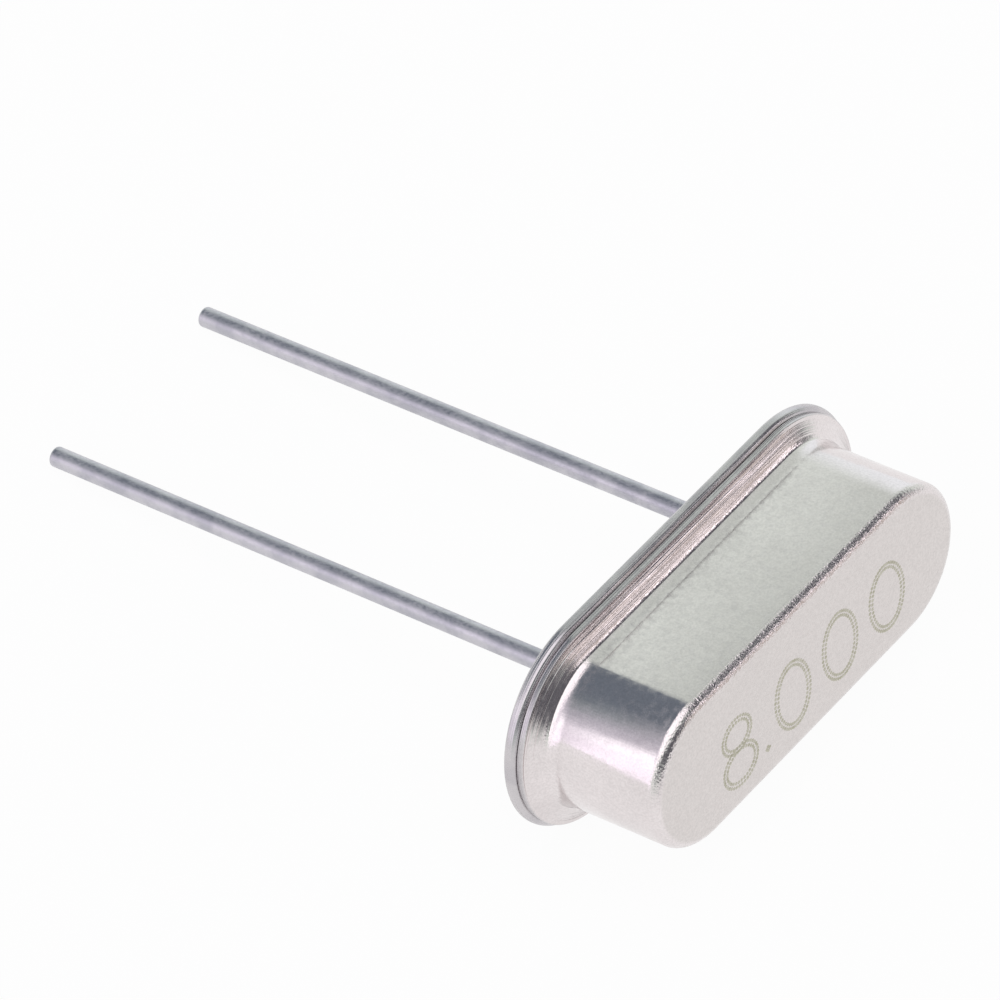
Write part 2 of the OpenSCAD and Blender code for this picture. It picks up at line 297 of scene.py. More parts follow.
def makeNickelCan():
    # deep-drawn steel sheet with dull nickel plate: a soft grey mirror, broken up by its grain,
    # that turns speckled where the sheet was stretched over the punch, and streaked where the
    # flange was pressed for welding
    material, tree, shader, place = newMaterial("satin nickel on drawn steel")
    out, height = addOutlineDistance(tree, place)
    grain = addNode(tree, 'ShaderNodeTexNoise', {
        "Vector": place, "Scale": lid["grain"], "Detail": 2, "Roughness": 0.5})
    dimple = addNode(tree, 'ShaderNodeTexNoise', {
        "Vector": place, "Scale": lid["dimple"], "Detail": 1, "Roughness": 0.4})
    drawn = addNode(tree, 'ShaderNodeVectorMath', {
        0: place, 1: (1, 1, lid["drawStretch"])}, operation='MULTIPLY')
    draw = addNode(tree, 'ShaderNodeTexNoise', {
        "Vector": drawn.outputs[0], "Scale": lid["draw"], "Detail": 2})
    peel = addNode(tree, 'ShaderNodeTexNoise', {
        "Vector": place, "Scale": lid["peel"], "Detail": 2, "Roughness": 0.6})
    cloud = addNode(tree, 'ShaderNodeTexNoise', {
        "Vector": place, "Scale": lid["cloud"], "Detail": 3, "Roughness": 0.55})
    marks = addPressMarks(tree, place, out, height, lid)

    # where each finish lies
    face = addNode(tree, 'ShaderNodeMapRange', {
        "Value": height, "From Min": lidHigh.z - lid["faceDepth"],
        "From Max": lidHigh.z - hair})
    downFrom, downTo = [share * lid["topRadius"] for share in lid["peelDown"]]
    inFrom, inTo = [share * lid["topRadius"] for share in lid["peelIn"]]
    overPunch = addNode(tree, 'ShaderNodeMapRange', {
        "Value": height, "From Min": lidHigh.z - downFrom, "From Max": lidHigh.z - downTo},
        interpolation_type='SMOOTHSTEP')
    offFace = addNode(tree, 'ShaderNodeMapRange', {
        "Value": out, "From Min": wallHalf - inFrom, "From Max": wallHalf - inTo},
        interpolation_type='SMOOTHSTEP')
    topEdge = addNode(tree, 'ShaderNodeMath', {0: overPunch.outputs[0], 1: offFace.outputs[0]},
                      operation='MULTIPLY')
    belowFoot = addNode(tree, 'ShaderNodeMapRange', {
        "Value": height, "From Min": wallFoot, "From Max": creaseHeight},
        interpolation_type='SMOOTHSTEP')
    flange = addNode(tree, 'ShaderNodeMapRange', {
        "Value": out, "From Min": creaseOut + lid["coinedStart"][0],
        "From Max": creaseOut + lid["coinedStart"][1]})
    wall = addNode(tree, 'ShaderNodeMath', {0: 1.0, 1: flange.outputs[0]}, operation='SUBTRACT')
    footShare = addNode(tree, 'ShaderNodeMath', {0: belowFoot.outputs[0], 1: lid["footPeel"]},
                        operation='MULTIPLY')
    foot = addNode(tree, 'ShaderNodeMath', {0: footShare.outputs[0], 1: wall.outputs[0]},
                   operation='MULTIPLY')
    stretched = addNode(tree, 'ShaderNodeMath', {0: topEdge.outputs[0], 1: foot.outputs[0]},
                        operation='MAXIMUM')
    rimEdge = addNode(tree, 'ShaderNodeMapRange', {
        "Value": out, "From Min": lidHigh.y - lid["rimRadius"], "From Max": lidHigh.y})

    # colour and roughness
    tint = addNode(tree, 'ShaderNodeMapRange', {
        "Value": cloud.outputs["Fac"], "From Min": noiseLow, "From Max": noiseHigh})
    clouded = addNode(tree, 'ShaderNodeMix', {
        "Factor": tint.outputs[0], "A": srgb(lid["colour"]),
        "B": srgb(lid["cloudColour"])}, data_type='RGBA')
    # painted shade: the face is mixed a little darker than the wall, to dim the floor it reflects
    shadedFace = addNode(tree, 'ShaderNodeMix', {
        "Factor": face.outputs[0], "A": clouded.outputs["Result"],
        "B": srgb(lid["faceShadeColour"])}, data_type='RGBA')
    edged = addNode(tree, 'ShaderNodeMix', {
        "Factor": rimEdge.outputs[0], "A": shadedFace.outputs["Result"],
        "B": srgb(lid["edgeColour"])}, data_type='RGBA')
    spot = addNode(tree, 'ShaderNodeMapRange', {
        "Value": grain.outputs["Fac"], "From Min": noiseLow, "From Max": noiseHigh,
        "To Max": lid["mottleShare"]})
    colour = addNode(tree, 'ShaderNodeMix', {
        "Factor": spot.outputs[0], "A": edged.outputs["Result"], "B": (0, 0, 0, 1)},
        data_type='RGBA')
    plain = addNode(tree, 'ShaderNodeMapRange', {
        "Value": dimple.outputs["Fac"], "From Min": noiseLow, "From Max": noiseHigh,
        "To Min": lid["bright"], "To Max": lid["dull"]})
    haze = addNode(tree, 'ShaderNodeMapRange', {
        "Value": height, "From Min": wallFoot + lid["footHazeHeight"], "From Max": wallFoot,
        "To Max": lid["footHaze"]}, interpolation_type='SMOOTHSTEP')
    wallRough = addNode(tree, 'ShaderNodeMath', {
        0: wall.outputs[0], 1: haze.outputs[0], 2: plain.outputs[0]}, operation='MULTIPLY_ADD')
    rough = addNode(tree, 'ShaderNodeMath', {
        0: flange.outputs[0], 1: lid["coined"], 2: wallRough.outputs[0]},
        operation='MULTIPLY_ADD')

    # heights, from the broadest to the finest
    fromMiddle = addNode(tree, 'ShaderNodeMath', {0: height, 1: (lidHigh.z + wallFoot) / 2},
                         operation='SUBTRACT')
    bowed = addNode(tree, 'ShaderNodeMath', {0: fromMiddle.outputs[0], 1: 2}, operation='POWER')
    bow = addNode(tree, 'ShaderNodeBump', {
        "Height": bowed.outputs[0], "Distance": lid["bow"] * mm}, invert=True)
    clouds = addNode(tree, 'ShaderNodeBump', {
        "Height": cloud.outputs["Fac"], "Strength": wall.outputs[0],
        "Distance": lid["cloudHeight"] * mm, "Normal": bow.outputs["Normal"]})
    dimples = addNode(tree, 'ShaderNodeBump', {
        "Height": dimple.outputs["Fac"], "Strength": wall.outputs[0],
        "Distance": lid["dimpleHeight"] * mm, "Normal": clouds.outputs["Normal"]})
    draws = addNode(tree, 'ShaderNodeBump', {
        "Height": draw.outputs["Fac"], "Strength": wall.outputs[0],
        "Distance": lid["drawHeight"] * mm, "Normal": dimples.outputs["Normal"]})
    lumps = addNode(tree, 'ShaderNodeBump', {
        "Height": peel.outputs["Fac"], "Strength": stretched.outputs[0],
        "Distance": lid["peelHeight"] * mm, "Normal": draws.outputs["Normal"]})
    rings = addNode(tree, 'ShaderNodeBump', {
        "Height": marks, "Strength": flange.outputs[0],
        "Distance": lid["ringHeight"] * mm, "Normal": lumps.outputs["Normal"]})
    grains = addNode(tree, 'ShaderNodeBump', {
        "Height": grain.outputs["Fac"], "Distance": lid["grainHeight"] * mm,
        "Normal": rings.outputs["Normal"]})
    shader.inputs["Metallic"].default_value = 1
    tree.links.new(colour.outputs["Result"], shader.inputs["Base Color"])
    tree.links.new(rough.outputs[0], shader.inputs["Roughness"])
    tree.links.new(grains.outputs["Normal"], shader.inputs["Normal"])
    return material


def makeLid():
    top, sheet, edge = lid["topRadius"], lid["sheet"], lid["rimRadius"]
    high = lidHigh.z
    edgeOut = lidHigh.y - edge
    foot = [(*centre, radius, 180 + start, 180 + end)
            for centre, (radius, start, end) in zip(footCentres, footBends)]
    inside = [(out, height, radius + sheet, end, start) for out, height, radius, start, end in foot]
    bm = bmesh.new()
    section = addSection(bm, [
        corner(0, high),
        (wallHalf - top, high - top, top, 90, 0),
        *foot,
        (edgeOut, flangeTop - edge, edge, 90, 0),
        (edgeOut, lidLow.z + edge, edge, 0, -90),
        *reversed(inside),
        (wallHalf - top, high - top, top - sheet, 0, 90),
        corner(0, high - sheet)])
    sweepOutline(bm, section)
    return finishPiece(bm, "drawn_lid", nickelCan, ["can_lid"])


nickelCan = makeNickelCan()
makeLid()
print("lid made")

# Marking on the face: plain figures, each stroke two rows of fine dots
marking = {
    # middle of each oval across and up the face, and its half width and half height
    "figures": [
        (-2.35, 0.12, 0.42, 0.36), (-2.35, -0.66, 0.5, 0.42),
        (-0.56, -0.27, 0.52, 0.75), (1.02, -0.24, 0.52, 0.75), (2.6, -0.24, 0.52, 0.75)],
    "point": (-1.5, -0.93, 0.05, 0.05),
    "rowGap": 0.095,  # between the two rows
    "dotGap": 0.085,  # along a row
    "dotRadius": 0.042,
    "dotTop": 0.7,  # top of a dot, as a share of its radius
    "dotHeight": 0.004,
    "colour": "#CDCABD",
    "darkColour": "#BDBAA8",
    "rough": 0.5,
    "burn": 9,  # scorched specks in a millimetre
    "burnRange": (0.38, 0.62),  # pattern values where a speck begins and is full
    "burnHeight": 0.004,
}


def addDots(bm, oval):
    # dots along an oval
    middleX, middleY, halfWidth, halfHeight = oval
    count = round(pi * (halfWidth + halfHeight) / marking["dotGap"])
    for step in range(count):
        angle = 2 * pi * step / count
        dot = Matrix.Translation((
            middleX + halfWidth * cos(angle), middleY + halfHeight * sin(angle),
            lidHigh.z + marking["dotHeight"] / 2))
        bmesh.ops.create_cone(bm, cap_ends=True, segments=8, radius1=marking["dotRadius"],
                              radius2=marking["dotTop"] * marking["dotRadius"],
                              depth=marking["dotHeight"], matrix=dot)


def makeMarkedNickel():
    # nickel that the marking machine melted and oxidised: dull olive specks on the grey
    material, tree, shader, place = newMaterial("oxidised nickel")
    burn = addNode(tree, 'ShaderNodeTexNoise', {
        "Vector": place, "Scale": marking["burn"], "Detail": 2})
    depth = addNode(tree, 'ShaderNodeMapRange', {
        "Value": burn.outputs["Fac"], "From Min": marking["burnRange"][0],
        "From Max": marking["burnRange"][1]})
    colour = addNode(tree, 'ShaderNodeMix', {
        "Factor": depth.outputs[0], "A": srgb(marking["colour"]),
        "B": srgb(marking["darkColour"])}, data_type='RGBA')
    bump = addNode(tree, 'ShaderNodeBump', {
        "Height": burn.outputs["Fac"], "Distance": marking["burnHeight"] * mm})
    shader.inputs["Metallic"].default_value = 1
    shader.inputs["Roughness"].default_value = marking["rough"]
    tree.links.new(colour.outputs["Result"], shader.inputs["Base Color"])
    tree.links.new(bump.outputs["Normal"], shader.inputs["Normal"])
    return material


def makeMarking():
    bm = bmesh.new()
    for middleX, middleY, halfWidth, halfHeight in marking["figures"]:
        for shift in (-marking["rowGap"] / 2, marking["rowGap"] / 2):
            addDots(bm, (middleX, middleY, halfWidth + shift, halfHeight + shift))
    addDots(bm, marking["point"])
    return finishPiece(bm, "face_figures", makeMarkedNickel())


makeMarking()
print("marking made")

# Header base: stamped flange and raised middle, with a bore for each glass seal
base = {
    "flange": 0.26,
    "lowerRadius": 0.1,
    "upperRadius": 0.12,
    "middleHalf": 1.45,
    "middleRadius": 0.08,
    "fillHalf": 1.0,  # where the swept part gives way to the filled one
    # finish, counted and measured as the lid's
    "colour": "#CECACC",
    "cloudColour": "#C0BCC0",
    "cloud": 1.4,
    "cloudRange": (0.4, 0.6),  # pattern values where a cloud begins and is full
    "bright": 0.2,
    "dull": 0.3,
    "grain": 22,
    "grainHeight": 0.0005,
    "ring": 17,  # lines that run round the sheared rim
    "ringDrift": 0.15,
    "ringHeight": 0.03,
    "ringStart": (0.2, 0.1),  # how far in from the rim they begin and are full
}


def makeNickelBase():
    # stamped steel with dull nickel plate: greyer than the can, with the shear's fine lines
    # along its rim
    material, tree, shader, place = newMaterial("satin nickel on stamped steel")
    out, height = addOutlineDistance(tree, place)
    grain = addNode(tree, 'ShaderNodeTexNoise', {
        "Vector": place, "Scale": base["grain"], "Detail": 3, "Roughness": 0.6})
    cloud = addNode(tree, 'ShaderNodeTexNoise', {
        "Vector": place, "Scale": base["cloud"], "Detail": 3})
    marks = addPressMarks(tree, place, out, height, base)
    rim = addNode(tree, 'ShaderNodeMapRange', {
        "Value": out, "From Min": baseHigh.y - base["ringStart"][0],
        "From Max": baseHigh.y - base["ringStart"][1]})
    tint = addNode(tree, 'ShaderNodeMapRange', {
        "Value": cloud.outputs["Fac"], "From Min": base["cloudRange"][0],
        "From Max": base["cloudRange"][1]})
    colour = addNode(tree, 'ShaderNodeMix', {
        "Factor": tint.outputs[0], "A": srgb(base["colour"]),
        "B": srgb(base["cloudColour"])}, data_type='RGBA')
    rough = addNode(tree, 'ShaderNodeMapRange', {
        "Value": grain.outputs["Fac"], "From Min": noiseLow, "From Max": noiseHigh,
        "To Min": base["bright"], "To Max": base["dull"]})
    lines = addNode(tree, 'ShaderNodeBump', {
        "Height": marks, "Strength": rim.outputs[0], "Distance": base["ringHeight"] * mm})
    grains = addNode(tree, 'ShaderNodeBump', {
        "Height": grain.outputs["Fac"], "Distance": base["grainHeight"] * mm,
        "Normal": lines.outputs["Normal"]})
    shader.inputs["Metallic"].default_value = 1
    tree.links.new(colour.outputs["Result"], shader.inputs["Base Color"])
    tree.links.new(rough.outputs[0], shader.inputs["Roughness"])
    tree.links.new(grains.outputs["Normal"], shader.inputs["Normal"])
    return material


def makeBase():
    low, high, rim = baseLow.z, baseHigh.z, baseHigh.y
    lower, upper, middle = base["lowerRadius"], base["upperRadius"], base["middleRadius"]
    bm = bmesh.new()
    section = addSection(bm, [
        corner(base["fillHalf"], low),
        (rim - lower, low + lower, lower, -90, 0),
        (rim - upper, base["flange"] - upper, upper, 0, 90),
        corner(base["middleHalf"], base["flange"]),
        (base["middleHalf"] - middle, high - middle, middle, 0, 90),
        corner(base["fillHalf"], high)])
    sweepOutline(bm, section)
    # both flat middles are filled round the bores, and each bore's two ends are joined
    rings = {}
    for height in (low, high):
        outline = [edge for edge in bm.edges if edge.is_boundary
                   and all(abs(vert.co.z - height) < hair for vert in edge.verts)]
        fill = list(outline)
        for side in sides.values():
            place = Matrix.Translation((side * leadCentre, 0, height))
            ring = bmesh.ops.create_circle(bm, radius=sealRadius, segments=wireSteps, matrix=place)
            ringEdges = list({edge for vert in ring["verts"] for edge in vert.link_edges})
            rings.setdefault(side, []).extend(ringEdges)
            fill += ringEdges
        bmesh.ops.triangle_fill(bm, edges=fill, use_beauty=True, use_dissolve=False,
                                normal=(0, 0, 1))
    for ringEdges in rings.values():
        bmesh.ops.bridge_loops(bm, edges=ringEdges)
    return finishPiece(bm, "stamped_base", makeNickelBase(), ["header_base"])


makeBase()
print("base made")

# Leads: the wire is tinned outside the can and bare in the glass, and its inner end is a
# flattened head
lead = {
    "tinned": 0.215,  # radius outside the can
    "bare": 0.205,  # and inside it
    "tipRadius": 0.06,
    "headHalf": 0.4,
    "headThickness": 0.12,
    # finish, counted and measured as the lid's
    "colour": "#CCCAD0",
    "smearColour": "#BAB9C1",
    "smearRange": (0.42, 0.62),  # ripple values where a smear begins and is full
    "bright": 0.32,
    "dull": 0.48,
    "ripple": 1.6,  # where the tin set
    "rippleHeight": 0.003,
    "line": 34,  # draw lines, counted round the wire
    "lineStretch": 0.05,  # how much slower they change along it
    "lineHeight": 0.0012,
    "fleck": 16,
    "fleckHeight": 0.0006,
}


def makeTinnedWire():
    # hot-tinned steel wire: a soft lilac grey with draw lines along it and smears where the tin
    # ran, duller than the can
    material, tree, shader, place = newMaterial("hot-dipped tin on drawn wire")
    stretch = addNode(tree, 'ShaderNodeVectorMath', {
        0: place, 1: (1, 1, lead["lineStretch"])}, operation='MULTIPLY')
    lines = addNode(tree, 'ShaderNodeTexNoise', {
        "Vector": stretch.outputs[0], "Scale": lead["line"], "Detail": 2})
    ripple = addNode(tree, 'ShaderNodeTexNoise', {
        "Vector": place, "Scale": lead["ripple"], "Detail": 3, "Roughness": 0.6})
    fleck = addNode(tree, 'ShaderNodeTexNoise', {
        "Vector": place, "Scale": lead["fleck"], "Detail": 2})
    smear = addNode(tree, 'ShaderNodeMapRange', {
        "Value": ripple.outputs["Fac"], "From Min": lead["smearRange"][0],
        "From Max": lead["smearRange"][1]})
    colour = addNode(tree, 'ShaderNodeMix', {
        "Factor": smear.outputs[0], "A": srgb(lead["colour"]),
        "B": srgb(lead["smearColour"])}, data_type='RGBA')
    rough = addNode(tree, 'ShaderNodeMapRange', {
        "Value": fleck.outputs["Fac"], "From Min": noiseLow, "From Max": noiseHigh,
        "To Min": lead["bright"], "To Max": lead["dull"]})
    waves = addNode(tree, 'ShaderNodeBump', {
        "Height": ripple.outputs["Fac"], "Distance": lead["rippleHeight"] * mm})
    drawn = addNode(tree, 'ShaderNodeBump', {
        "Height": lines.outputs["Fac"], "Distance": lead["lineHeight"] * mm,
        "Normal": waves.outputs["Normal"]})
    flecks = addNode(tree, 'ShaderNodeBump', {
        "Height": fleck.outputs["Fac"], "Distance": lead["fleckHeight"] * mm,
        "Normal": drawn.outputs["Normal"]})
    shader.inputs["Metallic"].default_value = 1
    tree.links.new(colour.outputs["Result"], shader.inputs["Base Color"])
    tree.links.new(rough.outputs[0], shader.inputs["Roughness"])
    tree.links.new(flecks.outputs["Normal"], shader.inputs["Normal"])
    return material


def makeLead(name, side):
    bottom, top, tip = leadLow.z, leadHigh.z, lead["tipRadius"]
    neck = top - lead["headThickness"]
    bm = bmesh.new()
    section = addSection(bm, [
        corner(0, bottom),
        (lead["tinned"] - tip, bottom + tip, tip, -90, 0),
        corner(lead["tinned"], 0),
        corner(lead["bare"], 0),
        corner(lead["bare"], neck),
        corner(lead["headHalf"], neck),
        corner(lead["headHalf"], top),
        corner(0, top)])
    spinAround(bm, section)
    bmesh.ops.translate(bm, vec=(side * leadCentre, 0, 0), verts=bm.verts)
    return finishPiece(bm, "tinned_lead_" + name, tinnedWire, ["lead_" + name])


# Glass seals: fired in place, so the glass climbs a little on the wire and on the bore
seal = {
    "dip": 0.06,  # how far its surface sinks between the two
    # finish, counted and measured as the lid's
    "colour": "#474B45",
    "paleColour": "#6A6E66",
    "rough": 0.12,
    "ior": 1.52,
    "cloud": 3,
    "cloudShare": 0.7,  # how far the clouds turn it pale
    "cloudHeight": 0.01,
    "bubble": 14,
    "bubbleRange": (0.16, 0.1),  # distances from its middle where a bubble begins and is full
}


def makeSealGlass():
    # compression seal glass: nearly opaque grey-green, fire-polished, with fine bubbles
    material, tree, shader, place = newMaterial("fired sealing glass")
    cloud = addNode(tree, 'ShaderNodeTexNoise', {
        "Vector": place, "Scale": seal["cloud"], "Detail": 3})
    bubble = addNode(tree, 'ShaderNodeTexVoronoi', {"Vector": place, "Scale": seal["bubble"]})
    spot = addNode(tree, 'ShaderNodeMapRange', {
        "Value": bubble.outputs["Distance"], "From Min": seal["bubbleRange"][0],
        "From Max": seal["bubbleRange"][1]})
    pale = addNode(tree, 'ShaderNodeMath', {
        0: cloud.outputs["Fac"], 1: seal["cloudShare"], 2: spot.outputs[0]},
        operation='MULTIPLY_ADD', use_clamp=True)
    colour = addNode(tree, 'ShaderNodeMix', {
        "Factor": pale.outputs[0], "A": srgb(seal["colour"]), "B": srgb(seal["paleColour"])},
        data_type='RGBA')
    bump = addNode(tree, 'ShaderNodeBump', {
        "Height": cloud.outputs["Fac"], "Distance": seal["cloudHeight"] * mm})
    shader.inputs["Roughness"].default_value = seal["rough"]
    shader.inputs["IOR"].default_value = seal["ior"]
    tree.links.new(colour.outputs["Result"], shader.inputs["Base Color"])
    tree.links.new(bump.outputs["Normal"], shader.inputs["Normal"])
    return material


def makeSeal(name, side):
    middle, half = (lead["bare"] + sealRadius) / 2, (sealRadius - lead["bare"]) / 2
    dipRadius = (half ** 2 + seal["dip"] ** 2) / (2 * seal["dip"])
    reach = degrees(asin(half / dipRadius))
    bm = bmesh.new()
    addSection(bm, [
        (middle, sealLow.z + seal["dip"] - dipRadius, dipRadius, 90 + reach, 90 - reach),
        (middle, sealHigh.z - seal["dip"] + dipRadius, dipRadius, -90 + reach, -90 - reach)])
    bm.verts.ensure_lookup_table()
    bm.edges.new((bm.verts[-1], bm.verts[0]))
    spinAround(bm, bm.verts[:] + bm.edges[:])
    bmesh.ops.translate(bm, vec=(side * leadCentre, 0, 0), verts=bm.verts)
    return finishPiece(bm, "fired_seal_" + name, sealGlass, ["glass_seal_" + name])


sealGlass = makeSealGlass()
tinnedWire = makeTinnedWire()
for name, side in sides.items():
    makeSeal(name, side)
    makeLead(name, side)
print("seals and leads made")

# Inside the sealed can the modelled pieces keep their shape and get their own finish, counted
# and measured as the lid's: first the spring clips
clip = {
    "colour": "#CFC3A2",
    "darkColour": "#BDB08F",
    "bright": 0.18,
    "dull": 0.4,
    "line": 30,  # rolling lines, counted across the strip
    "lineStretch": 0.06,  # how much slower they change along it
    "lineHeight": 0.0015,
}


def makeClipAlloy():
    # cold-rolled nickel silver: warm and bright, with rolling lines along the strip
    material, tree, shader, place = newMaterial("cold-rolled nickel silver")
    stretch = addNode(tree, 'ShaderNodeVectorMath', {0: place, 1: (clip["lineStretch"], 1, 1)},
                      operation='MULTIPLY')
    rolled = addNode(tree, 'ShaderNodeTexNoise', {
        "Vector": stretch.outputs[0], "Scale": clip["line"], "Detail": 3})
    colour = addNode(tree, 'ShaderNodeMix', {
        "Factor": rolled.outputs["Fac"], "A": srgb(clip["colour"]),
        "B": srgb(clip["darkColour"])}, data_type='RGBA')
    rough = addNode(tree, 'ShaderNodeMapRange', {
        "Value": rolled.outputs["Fac"], "To Min": clip["bright"], "To Max": clip["dull"]})
    bump = addNode(tree, 'ShaderNodeBump', {
        "Height": rolled.outputs["Fac"], "Distance": clip["lineHeight"] * mm})
    shader.inputs["Metallic"].default_value = 1
    tree.links.new(colour.outputs["Result"], shader.inputs["Base Color"])
    tree.links.new(rough.outputs[0], shader.inputs["Roughness"])
    tree.links.new(bump.outputs["Normal"], shader.inputs["Normal"])
    return material


# Quartz blank
quartz = {
    "colour": "#F3F7F6",
    "ior": 1.54,
    "bright": 0.12,
    "dull": 0.3,
    "pit": 40,  # left by the lapping grit
    "pitHeight": 0.001,
}


def makeLappedQuartz():
    # synthetic quartz with lapped faces: clear, with the haze that fine lapping leaves
    material, tree, shader, place = newMaterial("lapped quartz")
    pit = addNode(tree, 'ShaderNodeTexNoise', {
        "Vector": place, "Scale": quartz["pit"], "Detail": 2})
    rough = addNode(tree, 'ShaderNodeMapRange', {
        "Value": pit.outputs["Fac"], "From Min": noiseLow, "From Max": noiseHigh,
        "To Min": quartz["bright"], "To Max": quartz["dull"]})
    bump = addNode(tree, 'ShaderNodeBump', {
        "Height": pit.outputs["Fac"], "Distance": quartz["pitHeight"] * mm})
    shader.inputs["Base Color"].default_value = srgb(quartz["colour"])
    shader.inputs["Transmission Weight"].default_value = 1
    shader.inputs["IOR"].default_value = quartz["ior"]
    tree.links.new(rough.outputs[0], shader.inputs["Roughness"])
    tree.links.new(bump.outputs["Normal"], shader.inputs["Normal"])
    return material


# Electrodes, of evaporated film: bright and even over the lapped quartz
film = {
    "finish": "evaporated silver",
    "colour": "#E8E6E1",
    "darkColour": "#D6D3CC",
    "metallic": 1,
    "bright": 0.1,
    "dull": 0.22,
    "flake": 40,
    "flakeHeight": 0.0008,
}

# Bonds, of cured resin: matt, with the glint of its silver flakes
resin = {
    "finish": "silver-filled resin",
    "colour": "#B4B2AE",
    "darkColour": "#8E8C88",
    "metallic": 0.5,
    "bright": 0.45,
    "dull": 0.75,
    "flake": 18,
    "flakeHeight": 0.006,
}


def makeSilver(piece):
    # silver as a film or as flakes: pale grey that turns darker and duller flake by flake
    material, tree, shader, place = newMaterial(piece["finish"])
    flake = addNode(tree, 'ShaderNodeTexNoise', {
        "Vector": place, "Scale": piece["flake"], "Detail": 3})
    colour = addNode(tree, 'ShaderNodeMix', {
        "Factor": flake.outputs["Fac"], "A": srgb(piece["colour"]),
        "B": srgb(piece["darkColour"])}, data_type='RGBA')
    rough = addNode(tree, 'ShaderNodeMapRange', {
        "Value": flake.outputs["Fac"], "From Min": noiseLow, "From Max": noiseHigh,
        "To Min": piece["bright"], "To Max": piece["dull"]})
    bump = addNode(tree, 'ShaderNodeBump', {
        "Height": flake.outputs["Fac"], "Distance": piece["flakeHeight"] * mm})
    shader.inputs["Metallic"].default_value = piece["metallic"]
    tree.links.new(colour.outputs["Result"], shader.inputs["Base Color"])
    tree.links.new(rough.outputs[0], shader.inputs["Roughness"])
    tree.links.new(bump.outputs["Normal"], shader.inputs["Normal"])
    return material


def finishInside():
    electrodeFilm, bondResin = makeSilver(film), makeSilver(resin)
    clipAlloy, lappedQuartz = makeClipAlloy(), makeLappedQuartz()
    finishes = {
        "support_clip_left": clipAlloy, "support_clip_right": clipAlloy,
        "quartz_blank": lappedQuartz,
        "upper_electrode": electrodeFilm, "lower_electrode": electrodeFilm,
        "silver_bond_left": bondResin, "silver_bond_right": bondResin}
    for node, material in finishes.items():
        for slot in frame["nodes"][node].material_slots:
            slot.material = material


finishInside()
print("inside finished")

# Camera: angles in degrees, lengths in millimetres
camera = {
    "azimuth": -53.4035,  # from looking along +Y
    "elevation": 46.8554,
    "distance": 193.59,
    "right": -3.3892,  # how far its aim lies beside the middle of the seating face
    "up": 2.1692,  # and above it
    "lens": 357.0,
    "clipStart": 10,
}


def makeCamera():
    turn, rise = radians(camera["azimuth"]), radians(camera["elevation"])
    back = Vector((sin(turn) * cos(rise), -cos(turn) * cos(rise), sin(rise)))
    right = Vector((cos(turn), sin(turn), 0))
    up = back.cross(right)
    data = bpy.data.cameras.new("camera")
    data.lens = camera["lens"]
    data.clip_start = camera["clipStart"] * mm
    eye = bpy.data.objects.new("camera", data)
    bpy.context.scene.collection.objects.link(eye)
    offset = camera["right"] * right + camera["up"] * up + camera["distance"] * back
    eye.matrix_world = Matrix((right, up, back)).transposed().to_4x4()
    eye.matrix_world.translation = upright.translation + offset * mm
    bpy.context.scene.camera = eye


makeCamera()
print("camera placed")

# Floor and what stands round the object
studio = {
    "floorHalf": 2,  # metres
    "glowShare": 0.95,  # how much of the floor's white doesn't depend on shadow
    "paper": 0.9,  # how much light the paper sends back
    "air": "#EBF4EE",  # surroundings where there is no card
}


def makeFloor():
    # pale sheet: partly paper that takes the object's shadow, partly a white of its own
    bm = bmesh.new()
    bmesh.ops.create_grid(bm, x_segments=1, y_segments=1, size=studio["floorHalf"])
    mesh = bpy.data.meshes.new("floor")
    bm.to_mesh(mesh)
    bm.free()
    floor = bpy.data.objects.new("floor", mesh)
    bpy.context.scene.collection.objects.link(floor)
    material = bpy.data.materials.new("white sheet")
    material.use_nodes = True
    tree = material.node_tree
    shader = next(node for node in tree.nodes if node.type == 'BSDF_PRINCIPLED')
    tree.nodes.remove(shader)
    out = next(node for node in tree.nodes if node.type == 'OUTPUT_MATERIAL')
    path = addNode(tree, 'ShaderNodeLightPath')
    cameraOrGloss = addNode(tree, 'ShaderNodeMath', {
        0: path.outputs["Is Camera Ray"], 1: path.outputs["Is Glossy Ray"]},
        operation='ADD', use_clamp=True)
    seen = addNode(tree, 'ShaderNodeMath', {
        0: cameraOrGloss.outputs[0], 1: path.outputs["Is Transmission Ray"]},
        operation='ADD', use_clamp=True)
    share = addNode(tree, 'ShaderNodeMath', {0: seen.outputs[0], 1: studio["glowShare"]},
                    operation='MULTIPLY')
    paper = addNode(tree, 'ShaderNodeBsdfDiffuse', {"Color": (*[studio["paper"]] * 3, 1)})
    glow = addNode(tree, 'ShaderNodeEmission', {"Color": (1, 1, 1, 1), "Strength": 1})
    mix = addNode(tree, 'ShaderNodeMixShader', {
        0: share.outputs[0], 1: paper.outputs[0], 2: glow.outputs[0]})
    tree.links.new(mix.outputs[0], out.inputs["Surface"])
    floor.data.materials.append(material)


